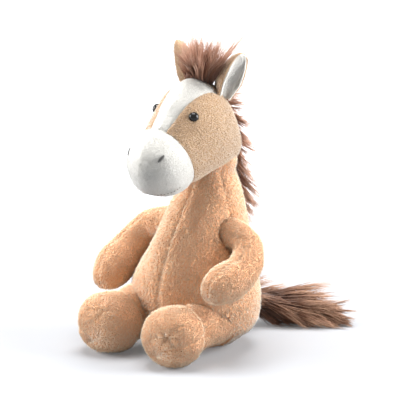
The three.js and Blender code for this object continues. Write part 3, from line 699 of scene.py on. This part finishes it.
# distance towards the nose, half width, lift of the middle, height above it and below it
head_rows = [
    (-35, 0, -8, 0, 0), (-32.5, 12, -8, 17, 17), (-26.5, 22, -7, 37, 33), (-16.5, 30.5, -4, 49.5, 47.5),
    (1, 36.5, 0, 49, 47), (21, 37, 1, 44.5, 42), (39, 34, 0, 38, 37), (53, 31.5, 0, 33.5, 34),
    (66, 32.5, 0, 32.5, 33.5), (80, 29.5, 0, 28.5, 29.5), (91, 21, 0, 20, 21),
    (97.5, 10.5, 0, 10, 10.5), (99.5, 0, 0, 0, 0),
]
head_curve = smooth_rows(head_rows)


def head_place(k, turn, grow=0.0):
    """A point of the head: turn goes from its top over its left side down to the jaw."""
    along, width, lift, above, below = head_curve(k)
    rise, out = math.cos(turn), math.sin(turn)
    if rise < 0:  # a squarer jaw
        rise, out = (math.copysign(abs(s) ** (2 / 2.6), s) for s in (rise, out))
    height = above if math.cos(turn) > 0 else below
    up = lift + (max(height, 0) + grow) * rise
    side = (max(width, 0) + grow) * out
    if grow:
        along += grow * (along - 30) / 70
    return HEAD_CENTRE + head_along * along * MM + head_up * up * MM + Vector((side * MM, 0, 0))


CROWN_SEAM, NOSE_SEAM = -16.5 * MM, 53 * MM
BLAZE_AT_CROWN, BLAZE_AT_NOSE = 22.5 * MM, 9.5 * MM


def of_head(p):
    """A point's distance towards the nose from the middle of the head, and its height there."""
    return (p - HEAD_CENTRE).dot(head_along), (p - HEAD_CENTRE).dot(head_up)


def blaze_half(along):
    share = (along - CROWN_SEAM) / (NOSE_SEAM - CROWN_SEAM)
    return BLAZE_AT_CROWN + (BLAZE_AT_NOSE - BLAZE_AT_CROWN) * share


def nose_seam(p):
    return abs(of_head(p)[0] - NOSE_SEAM)


def blaze_seam(p):
    along, up = of_head(p)
    if up < 0 or not CROWN_SEAM < along < NOSE_SEAM:
        return 1.0
    return abs(abs(p.x) - blaze_half(along))


def back_seam(p):
    along, up = of_head(p)
    return abs(p.x) if along < CROWN_SEAM or (up < 0 and along < NOSE_SEAM) else 1.0


head_sections = [0.3, 0.6] + list(np.arange(0.9, 11.3, 0.14)) + [11.4, 11.6, 11.8]
head_bm = skin(head_sections, 120, head_place)
lumpy(head_bm, 0.8 * MM, 26 * MM, [
    (nose_seam, 1.0 * MM, 1.5 * MM), (blaze_seam, 0.9 * MM, 1.4 * MM), (back_seam, 1.0 * MM, 1.8 * MM),
])
whole_head = BVHTree.FromBMesh(head_bm)
head_skin = piece_of("head_skin", head_bm)


def neck_room():
    """The room that the top of the neck needs as the head nods, fresh each time."""
    shapes = []
    for nod in (-15, 0, 15):
        neck = skin(np.arange(7.5, 12.5, 0.25), 40, lambda k, a: torso_place(k, a, 2.2), ends=("flat", "flat"))
        swing(neck, NECK, nod)
        shapes.append(neck)
    socket = bmesh.new()
    ball(socket, 64, 32, (NECK_RADIUS + 1.2) * MM)
    bmesh.ops.translate(socket, vec=NECK, verts=socket.verts)
    return shapes + [socket]


hollow(head_skin, neck_room())
panels = bmesh.new()
panels.from_mesh(head_skin.data)
bpy.data.objects.remove(head_skin)
inside = [f for f in panels.faces if whole_head.find_nearest(f.calc_center_median())[3] > 0.8 * MM]
bmesh.ops.delete(panels, geom=inside, context="FACES")
slope = (BLAZE_AT_CROWN - BLAZE_AT_NOSE) / (NOSE_SEAM - CROWN_SEAM)
seam_planes = [
    (HEAD_CENTRE + head_along * NOSE_SEAM, head_along),
    (HEAD_CENTRE + head_along * CROWN_SEAM, head_along),
    (Vector((0, 0, 0)), Vector((1, 0, 0))),
]
for side in (1, -1):
    corner = HEAD_CENTRE + head_along * NOSE_SEAM + Vector((side * BLAZE_AT_NOSE, 0, 0))
    seam_planes.append((corner, Vector((side, 0, 0)) + head_along * slope))
for point, normal in seam_planes:
    everything = panels.verts[:] + panels.edges[:] + panels.faces[:]
    bmesh.ops.bisect_plane(panels, geom=everything, dist=1e-6, plane_co=point, plane_no=normal)


def panel_name(face):
    p = face.calc_center_median()
    along, up = of_head(p)
    if along > NOSE_SEAM:
        return "muzzle"
    if along > CROWN_SEAM and up > 0 and abs(p.x) < blaze_half(along):
        return "blaze"
    return "cheek_left" if p.x > 0 else "cheek_right"


# the face's pile: the darker roots are painted shade deep in the pile, and the paler tips a painted sheen for the
# lit edges
CHEEK_TIP, CHEEK_ROOT = rgb(222, 203, 178), rgb(184, 144, 104)
WHITE_TIP, WHITE_ROOT = rgb(226, 226, 224), rgb(200, 197, 189)
cheek_cloth = cloth("cheek_cloth", CHEEK_TIP, CHEEK_ROOT)
cheek_fibre = fibres("cheek_fibre", CHEEK_TIP, CHEEK_ROOT, 0.2)
white_cloth = cloth("white_cloth", WHITE_TIP, WHITE_ROOT)
white_fibre = fibres("white_fibre", WHITE_TIP, WHITE_ROOT, 0.12)
# cloth, fibre, finish, then the pile's fibres in a square millimetre, their length, width and lean
cheek_look = (cheek_cloth, cheek_fibre, "face_plush", 1.2, 2.2, 0.55, 0.85)
white_look = (white_cloth, white_fibre, "white_plush", 1.4, 1.4, 0.5, 1.0)


def combed_back(points):
    """The way the face's pile lies: back, down and out to either side."""
    sideways = 0.5 * np.sign(points[:, 0])
    return np.stack([sideways, np.full(len(points), 0.6), np.full(len(points), -0.45)], 1)


def thickened(piece, thickness):
    """Gives a sheet its cloth's thickness, on its inner side."""
    solid = piece.modifiers.new("cloth", "SOLIDIFY")
    solid.thickness, solid.offset, solid.use_even_offset = thickness, -1.0, False


on_face = []
for seed, name in enumerate(("cheek_left", "cheek_right", "blaze", "muzzle")):
    ground, fibre, finish, per_mm2, length, width, lean = cheek_look if name.startswith("cheek") else white_look
    part = panels.copy()
    bmesh.ops.delete(part, geom=[f for f in part.faces if panel_name(f) != name], context="FACES")
    panel_skin = piece_of(f"{name}_skin", part)
    panel_nap = nap(f"{name}_nap", panel_skin, per_mm2, 40 + seed, combed_back, length, width, lean=lean)
    thickened(panel_skin, 1.8 * MM)
    dressed(panel_skin, ground, "head", finish, name)
    dressed(panel_nap, fibre, "head", finish)
    on_face += [panel_skin, panel_nap]
panels.free()

wadding = skin(np.arange(0.4, 11.8, 0.4), 48, lambda k, a: head_place(k, a, -3.0))
head_wadding = piece_of("head_wadding", wadding)
hollow(head_wadding, neck_room())
fibre_fill = Paint("fibre_fill", Base_Color=rgb(240, 239, 233), Roughness=0.9, Sheen_Weight=0.3)
fibre_fill.bumped(fibre_fill.cloudy(400.0, 4.0), 0.6, 0.001)
dressed(head_wadding, fibre_fill.material, "head", "fibre_filling", "head_filling")
on_face.append(head_wadding)

# ---------------------------------------------------------------- eyes
# Glossy black buttons of plastic with a shank through the cloth, held by a washer inside the head.
EYE_AT, EYE_TURN = 5.2, math.radians(43.5)
eye_plastic = Paint("eye_plastic", Base_Color=rgb(8, 7, 7), Roughness=0.12, Specular_IOR_Level=0.3)
washer_plastic = Paint("washer_plastic", Base_Color=rgb(222, 219, 210), Roughness=0.5)
washer_plastic.bumped(washer_plastic.cloudy(1500.0), 0.1, 0.0002)
step_round = head_place(EYE_AT, EYE_TURN + 0.05) - head_place(EYE_AT, EYE_TURN - 0.05)
step_along = head_place(EYE_AT + 0.05, EYE_TURN) - head_place(EYE_AT - 0.05, EYE_TURN)
looking = step_along.cross(step_round).normalized()
if looking.x < 0:
    looking = -looking
eye_seat = whole_head.find_nearest(head_place(EYE_AT, EYE_TURN))[0] + looking * 0.3 * MM


def turned(name, profile, side, plastic, finish, node):
    """A round piece on the eye's line, from its radii and heights in millimetres."""
    bm = bmesh.new()
    corners = [bm.verts.new((r * MM, 0, h * MM)) for r, h in profile]
    edges = [bm.edges.new(pair) for pair in zip(corners, corners[1:])]
    bmesh.ops.spin(
        bm, geom=corners + edges, cent=(0, 0, 0), axis=(0, 0, 1),
        angle=2 * math.pi, steps=40, use_merge=True, use_duplicate=False,
    )
    bmesh.ops.remove_doubles(bm, verts=bm.verts, dist=1e-6)
    bmesh.ops.rotate(bm, matrix=looking.to_track_quat("Z", "Y").to_matrix(), verts=bm.verts)
    bmesh.ops.translate(bm, vec=eye_seat, verts=bm.verts)
    bmesh.ops.recalc_face_normals(bm, faces=bm.faces)
    piece = piece_of(name, bm if side > 0 else flipped(bm))
    dressed(piece, plastic.material, "head", finish, node)
    on_face.append(piece)


shank = [(0, -8), (1.6, -8), (1.6, -0.6), (4.6, -0.5)]
dome = [(5 * math.cos(a), 3.8 * math.sin(a)) for a in np.linspace(0, math.pi / 2, 12)]
washer_ring = [(1.9, -3.7), (6, -3.7), (6, -4.7), (1.9, -4.7), (1.9, -3.7)]
SIDES = ((1, "left"), (-1, "right"))
for side, name in SIDES:
    turned(f"button_eye_{name}", shank + dome, side, eye_plastic, "eye_plastic", f"eye_{name}")
    turned(f"washer_{name}", washer_ring, side, washer_plastic, "washer_plastic", f"eye_washer_{name}")

# ---------------------------------------------------------------- nostrils and mouth
# Satin stitches of black thread lie side by side on the muzzle, and the mouth is a dotted line of
# small grey stitches under it, worked from one cheek to the other.
black_thread = Paint("black_thread", Base_Color=rgb(34, 30, 30), Roughness=0.5, Sheen_Weight=0.4)
grey_thread = Paint("grey_thread", Base_Color=rgb(112, 100, 92), Roughness=0.6, Sheen_Weight=0.4)
for thread in (black_thread, grey_thread):
    thread.bumped(thread.cloudy(5000.0), 0.4, 0.0002)


def stitch(bm, start, end, radius):
    """One thread lying on the cloth from one point to another, rounded over at both ends."""
    run = end - start
    made = ball(bm, 10, 8, 1.0)
    bmesh.ops.scale(bm, vec=(radius, radius, run.length / 2), verts=made)
    bmesh.ops.rotate(bm, matrix=run.to_track_quat("Z", "Y").to_matrix(), verts=made)
    bmesh.ops.translate(bm, vec=(start + end) / 2, verts=made)


MUZZLE_MIDDLE = HEAD_CENTRE + head_along * 70 * MM


def on_muzzle(direction, proud):
    """The point where a line from the muzzle's middle comes out, and a little beyond."""
    place, facing = whole_head.ray_cast(MUZZLE_MIDDLE, direction.normalized())[:2]
    return place + facing * proud


NOSTRIL_AT, NOSTRIL_TURN = 8.7, math.radians(46)  # the first stitch's row of the head, and its turn
NOSTRIL_HALF = 1.9  # half the longest stitch, in millimetres
nostril_way = Vector((0.72, 0.25, -0.62)).normalized()
for side, name in SIDES:
    nose = bmesh.new()
    for i in range(9):
        place = head_place(NOSTRIL_AT + 0.07 * i, NOSTRIL_TURN)
        reach = nostril_way * (NOSTRIL_HALF * math.sqrt(1 - ((i - 4) / 4) ** 2 * 0.75) * MM)
        ends = [on_muzzle(place + sign * reach - MUZZLE_MIDDLE, 0.75 * MM) for sign in (-1, 1)]
        stitch(nose, *ends, 0.42 * MM)
    bmesh.ops.recalc_face_normals(nose, faces=nose.faces)
    nostril = piece_of(f"nostril_{name}_stitches", nose if side > 0 else flipped(nose))
    dressed(nostril, black_thread.material, "head", "dark_thread", f"nostril_{name}")
    on_face.append(nostril)

mouth = bmesh.new()
corner, front = Vector((0.87, 0.06, -0.49)), Vector((0.0, -0.60, -0.80))
for i in range(-13, 14):
    ends = []
    for share in ((i - 0.3) / 13.5, (i + 0.3) / 13.5):
        far_corner = Vector((math.copysign(corner.x, share), corner.y, corner.z))
        ends.append(on_muzzle(front.lerp(far_corner, abs(share) ** 1.15), 1.3 * MM))
    stitch(mouth, *ends, 0.36 * MM)
bmesh.ops.recalc_face_normals(mouth, faces=mouth.faces)
mouth_stitches = piece_of("mouth_stitches", mouth)
dressed(mouth_stitches, grey_thread.material, "head", "dark_thread")
on_face.append(mouth_stitches)

# ---------------------------------------------------------------- ears
# Each ear is a tan cloth cup, folded at its base and sewn in beside the forelock, with a white
# lining whose edge rolls over the rim. The cups open outwards.
EAR_BASE, EAR_TIP = Vector((24, 2, 256)) * MM, Vector((42.5, 7.5, 300)) * MM
ear_opens = Vector((0.9, -0.28, -0.05))
ear_along = EAR_TIP - EAR_BASE
ear_forward = ear_along.normalized().cross(ear_opens).normalized()
ear_out = ear_forward.cross(ear_along).normalized()
# share of the length, half width and depth of the cup
ear_curve = smooth_rows([
    (-0.1, 8.5, 12), (0.1, 10.5, 16), (0.3, 12.5, 18), (0.55, 12, 15), (0.78, 10, 9.5), (0.93, 6.8, 4.5),
    (1.0, 2.2, 1.2),
])


def ear_place(k, turn, inwards=0.0):
    share, width, depth = ear_curve(k)
    middle = EAR_BASE + ear_along * share
    if inwards and math.cos(turn) > 0:
        depth *= 0.42  # the lining lies flatter than the cup
    deep, wide = max(depth - inwards, 0.3), max(width - inwards, 0.3)
    return middle - ear_out * (deep * math.cos(turn) * MM) + ear_forward * (wide * math.sin(turn) * MM)


def ear_sheet(name, wrap, inwards, thickness, last, side):
    """A flat grid of cloth, bent into the ear's cup."""
    sheet = bmesh.new()
    bmesh.ops.create_grid(sheet, x_segments=40, y_segments=40, size=1.0)
    for v in sheet.verts:
        k = (v.co.y + 1) / 2 * last
        v.co = ear_place(k, v.co.x * math.radians(wrap), inwards)
    bmesh.ops.remove_doubles(sheet, verts=sheet.verts, dist=1e-6)
    lumpy(sheet, 0.4 * MM, 12 * MM)
    middle = EAR_BASE + ear_along * 0.4
    if sum((f.calc_center_median() - middle).dot(f.normal) for f in sheet.faces) < 0:
        bmesh.ops.reverse_faces(sheet, faces=sheet.faces)
    sheet.normal_update()
    piece = piece_of(name, sheet if side > 0 else flipped(sheet))
    thickened(piece, thickness)
    return piece


# the ear's lining: a whiter copy of the face's white plush, as painted light for the shaded inside of the cup; its
# darker roots are painted shade deep in the pile
LINING_TIP, LINING_ROOT = rgb(252, 252, 250), rgb(238, 235, 228)
lining_cloth = cloth("lining_cloth", LINING_TIP, LINING_ROOT)
lining_fibre = fibres("lining_fibre", LINING_TIP, LINING_ROOT, 0.06)
for side, name in SIDES:
    back = ear_sheet(f"ear_{name}_skin", 100, 0.0, 1.4 * MM, 6, side)
    back_nap = nap(f"ear_{name}_nap", back, 1.3, 60 + side, -ear_along, 2.0, 0.55)
    lining = ear_sheet(f"ear_lining_{name}_skin", 104, 1.7, 1.1 * MM, 5.7, side)
    bowl = bmesh.new()  # the lining's inner face, which carries its pile
    bowl.from_mesh(lining.data)
    for v in bowl.verts:
        v.co -= v.normal * 1.2 * MM
    bmesh.ops.reverse_faces(bowl, faces=bowl.faces)
    bare = piece_of("bare", bowl)
    lining_nap = nap(f"ear_lining_{name}_nap", bare, 1.6, 70 + side, ear_along, 1.6, 0.5)
    bpy.data.objects.remove(bare)
    dressed(back, cheek_cloth, "head", "face_plush", f"ear_{name}")
    dressed(back_nap, cheek_fibre, "head", "face_plush")
    dressed(lining, lining_cloth, "head", "white_plush", f"ear_lining_{name}")
    dressed(lining_nap, lining_fibre, "head", "white_plush")

# ---------------------------------------------------------------- tail
# A tuft of long brown fibres, dark at their roots and paler at their tips, round a stuffed core that
# turns where it is sewn into the back seam. The tip droops onto the table.
TAIL_ROOT_SHADE, TAIL_MIDDLE, TAIL_TIP = rgb(60, 38, 28), rgb(122, 84, 62), rgb(206, 164, 134)
HAIR_ROOT, HAIR_MIDDLE, HAIR_TIP = rgb(80, 51, 39), rgb(160, 113, 88), rgb(218, 176, 152)


def long_hair(name, root, middle, tip):
    """Long fibres: three shades from root to tip, and every lock a little different."""
    paint = Paint(name, Roughness=0.55, Sheen_Weight=0.2, Sheen_Roughness=0.4, Specular_IOR_Level=0.3)
    own, along = own_shade(paint)
    lower = paint.mixed((along * 2.2).clamped(), root, middle)
    colour = paint.mixed((along * 2.0 - 0.9 + 0.5 * (own - 0.5)).clamped(), lower, tip)
    dark = tuple(0.35 * c for c in middle[:3]) + (1.0,)
    paint.feed("Base Color", paint.mixed((0.85 - own * 1.7).clamped() * 0.75, colour, dark))
    return paint.material


hair = long_hair("brown_hair", HAIR_ROOT, HAIR_MIDDLE, HAIR_TIP)
tail_fibre = long_hair("tail_fibre", TAIL_ROOT_SHADE, TAIL_MIDDLE, TAIL_TIP)
hair_core = Paint("hair_core", Roughness=0.8, Sheen_Weight=0.2)
hair_core.feed("Base Color", hair_core.mixed(hair_core.cloudy(300.0, 3.0), rgb(40, 25, 19), rgb(96, 64, 48)))
hair_core.bumped(hair_core.cloudy(700.0, 3.0), 0.8, 0.001)
LONG_FIBRE = strand_shape(3, 6, 0.02)


def lock_of(name, at, aims, lengths, width, seed, droop, stray_share, wave=0.25, furthest=(1, 1)):
    """Long fibres in clumps: neighbours share a bend and a shade, and gather towards their tips.
    No tip lies further back or up than the furthest y and z."""
    rng = np.random.default_rng(seed)
    count = len(at)
    lengths = lengths * rng.uniform(0.6, 1.15, count)
    stray = np.array([noise.noise_vector(Vector(p) / (7 * MM)) for p in at])
    tips = at + (unit(aims) + stray_share * stray + 0.16 * rng.normal(size=at.shape)) * lengths[:, None]
    bends = wave * rng.normal(size=at.shape) * 0.5 + stray_share * stray[:, ::-1]
    leaders = rng.choice(count, max(count // 16, 1), replace=False)
    leader = leaders[((at[:, None] - at[leaders][None]) ** 2).sum(2).argmin(1)]
    tips = tips + rng.uniform(0.5, 0.95, (count, 1)) * (tips[leader] - tips)
    bends = 0.35 * bends + 0.65 * bends[leader] + np.array(droop, float)
    own = rng.uniform(0, 1, count)
    shades = np.clip(0.45 * own + 0.55 * own[leader] + 0.08 * rng.normal(size=count), 0, 1)
    widths = width * MM * rng.uniform(0.6, 1.3, count)
    tips[:, 1:] = np.minimum(tips[:, 1:], furthest)
    aims, lengths = tips - at, np.linalg.norm(tips - at, axis=1)
    return pile(name, LONG_FIBRE, at, aims, lengths, widths, bends, shades)


tail_rows = [
    (0, 46, 33, 5, 5), (1, 57, 32, 8, 8), (5, 68, 28, 13, 12.5), (13, 84, 22, 19, 16), (28, 103, 17, 23, 16.5),
    (45, 117, 12, 21, 12.5), (62, 127, 6.5, 14, 8), (73, 134, 3, 0, 0),
]
tail_curve = smooth_rows(tail_rows)


def tail_place(k, angle, share=0.62):
    centre, sideways, upward, width, height = across_line(tail_curve, k, 7)
    width, height = max(width * share, 1.5), max(height * share, 1.2)
    p = (centre + sideways * width * math.cos(angle) + upward * height * math.sin(angle)) * MM
    p.z = max(p.z, 0.0006)
    return p


core = skin(np.arange(0, 6.7, 0.15), 32, tail_place)
knob = bmesh.new()
ball(knob, 32, 16, 8.9 * MM)
bmesh.ops.translate(knob, vec=TAIL_ROOT + Vector((0, 1, 0)) * MM, verts=knob.verts)
knob_mesh = bpy.data.meshes.new("knob")
knob.to_mesh(knob_mesh)
knob.free()
core.from_mesh(knob_mesh)
tail_core = piece_of("tail_core", core)
line_at = np.array([tail_curve(k)[:3] for k in np.arange(0, 7.01, 0.05)]) * MM
at, out, _ = spots(tail_core, 0.36, 80)
nearest = np.array([np.argmin(((line_at - p) ** 2).sum(1)) for p in at])
ahead = unit(line_at[np.minimum(nearest + 14, len(line_at) - 1)] - line_at[np.maximum(nearest - 2, 0)])
left_to_go = (len(line_at) - nearest) / len(line_at)
lengths = (12 + 46 * np.minimum(1.5 * left_to_go, 1)) * MM
tail_hair = lock_of(
    "tail_hair", at - out * MM, ahead + 0.3 * out, lengths, 0.36, 81, (0, 0, -0.1),
    wave=0.12, stray_share=0.22, furthest=(0.1425, 1),
)
dressed(tail_core, hair_core.material, "tail", "hair_plush", "tail")
dressed(tail_hair, tail_fibre, "tail", "hair_plush")

# ---------------------------------------------------------------- forelock
# The same brown fibres stand up between the ears from the crown's seam and fan out, darker at their
# roots, with pale wisps over the forehead.
rng = np.random.default_rng(90)
count = 1500
where = rng.uniform(-1, 1, (3 * count, 2))
where = where[(where**2).sum(1) < 1][:count]
forelock_roots, forelock_aims = [], []
for a, b in where:
    above = Vector((a * 15, -8 + b * 9, 290)) * MM
    hit = whole_head.ray_cast(above, Vector((0, 0, -1)))
    forelock_roots.append(np.array(hit[0]) - np.array([0, 0, 0.001]))
    forelock_aims.append((0.05 + 0.5 * a, -0.1 * (b < -0.2) + 0.2 * b, 1.0))
lengths = 52 * MM * (1 - 0.2 * np.abs(where[:, 0])) * np.where(where[:, 1] < -0.4, 0.7, 1.0)
forelock_hair = lock_of(
    "forelock_hair", np.array(forelock_roots), np.array(forelock_aims), lengths, 0.4, 91, (0.1, 0, -0.08),
    stray_share=0.35, furthest=(1, 0.318),
)
dressed(forelock_hair, hair, "head", "hair_plush", "forelock")
on_face.append(forelock_hair)

# ---------------------------------------------------------------- mane
# Two runs of long fibre along the middle seam, over the back of the head and down the back of the
# neck. Each is sewn to its own part, so the mane parts at the neck when the head nods.
def mane(name, points, outs, aims, lengths, per_mm, seed, body, node):
    """Fibres in a strip on either side of a line, lying back along it and fanning out a little."""
    rng = np.random.default_rng(seed)
    points, outs, line_aims = np.array(points), unit(np.array(outs)), unit(np.array(aims))
    run = np.linalg.norm(np.diff(points, axis=0), axis=1).sum()
    count = int(run / MM * per_mm)
    k = rng.uniform(0, len(points) - 1.001, count)
    i = k.astype(int)
    f = (k - i)[:, None]
    at = points[i] * (1 - f) + points[i + 1] * f
    out = unit(outs[i] * (1 - f) + outs[i + 1] * f)
    side = rng.uniform(-1, 1, count)
    at = at + np.stack([side * 7 * MM, 0 * side, 0 * side], 1) - out * 1.5 * MM
    fan = np.stack([0.45 * side, 0 * side, 0 * side], 1)
    long = np.interp(k, np.linspace(0, len(points) - 1, len(lengths)), lengths) * MM
    hair_of = lock_of(name, at, line_aims[i] + fan, long, 0.4, seed + 1, (0, -0.04, -0.1), stray_share=0.28)
    dressed(hair_of, hair, body, "hair_plush", node)
    return hair_of


back_line = [head_place(abs(s), 0.0 if s < 0 else math.pi) for s in np.linspace(-1.8, 3.3, 50)]
back_outs = [p - (HEAD_CENTRE - head_along * 0.004) for p in back_line]
back_aims = [o.normalized() * 0.9 + Vector((0, 0.3, -0.75)) for o in back_outs]
on_face.append(mane(
    "mane_upper_hair", back_line, back_outs, back_aims, (24, 28, 30, 34, 38, 34), 24, 95, "head", "mane_upper"
))
neck_line = [torso_place(k, math.pi / 2) for k in np.linspace(8.1, 11.2, 36)]
mane("mane_lower_hair", neck_line, [Vector((0, 1, 0.1)) for _ in neck_line],
     [Vector((0, 0.85, -0.75)) for _ in neck_line], (22, 28, 36, 42, 44), 26, 97, "torso", "mane_lower")

# ---------------------------------------------------------------- turn of the head
# The toy looks a little to its right: everything sewn to the face turns on the round neck, while the
# ears stay over it.
about_neck = Matrix.Translation(NECK) @ Matrix.Rotation(math.radians(-2.4), 4, "Z") @ Matrix.Translation(-NECK)
for piece in on_face:
    piece.data.transform(about_neck)
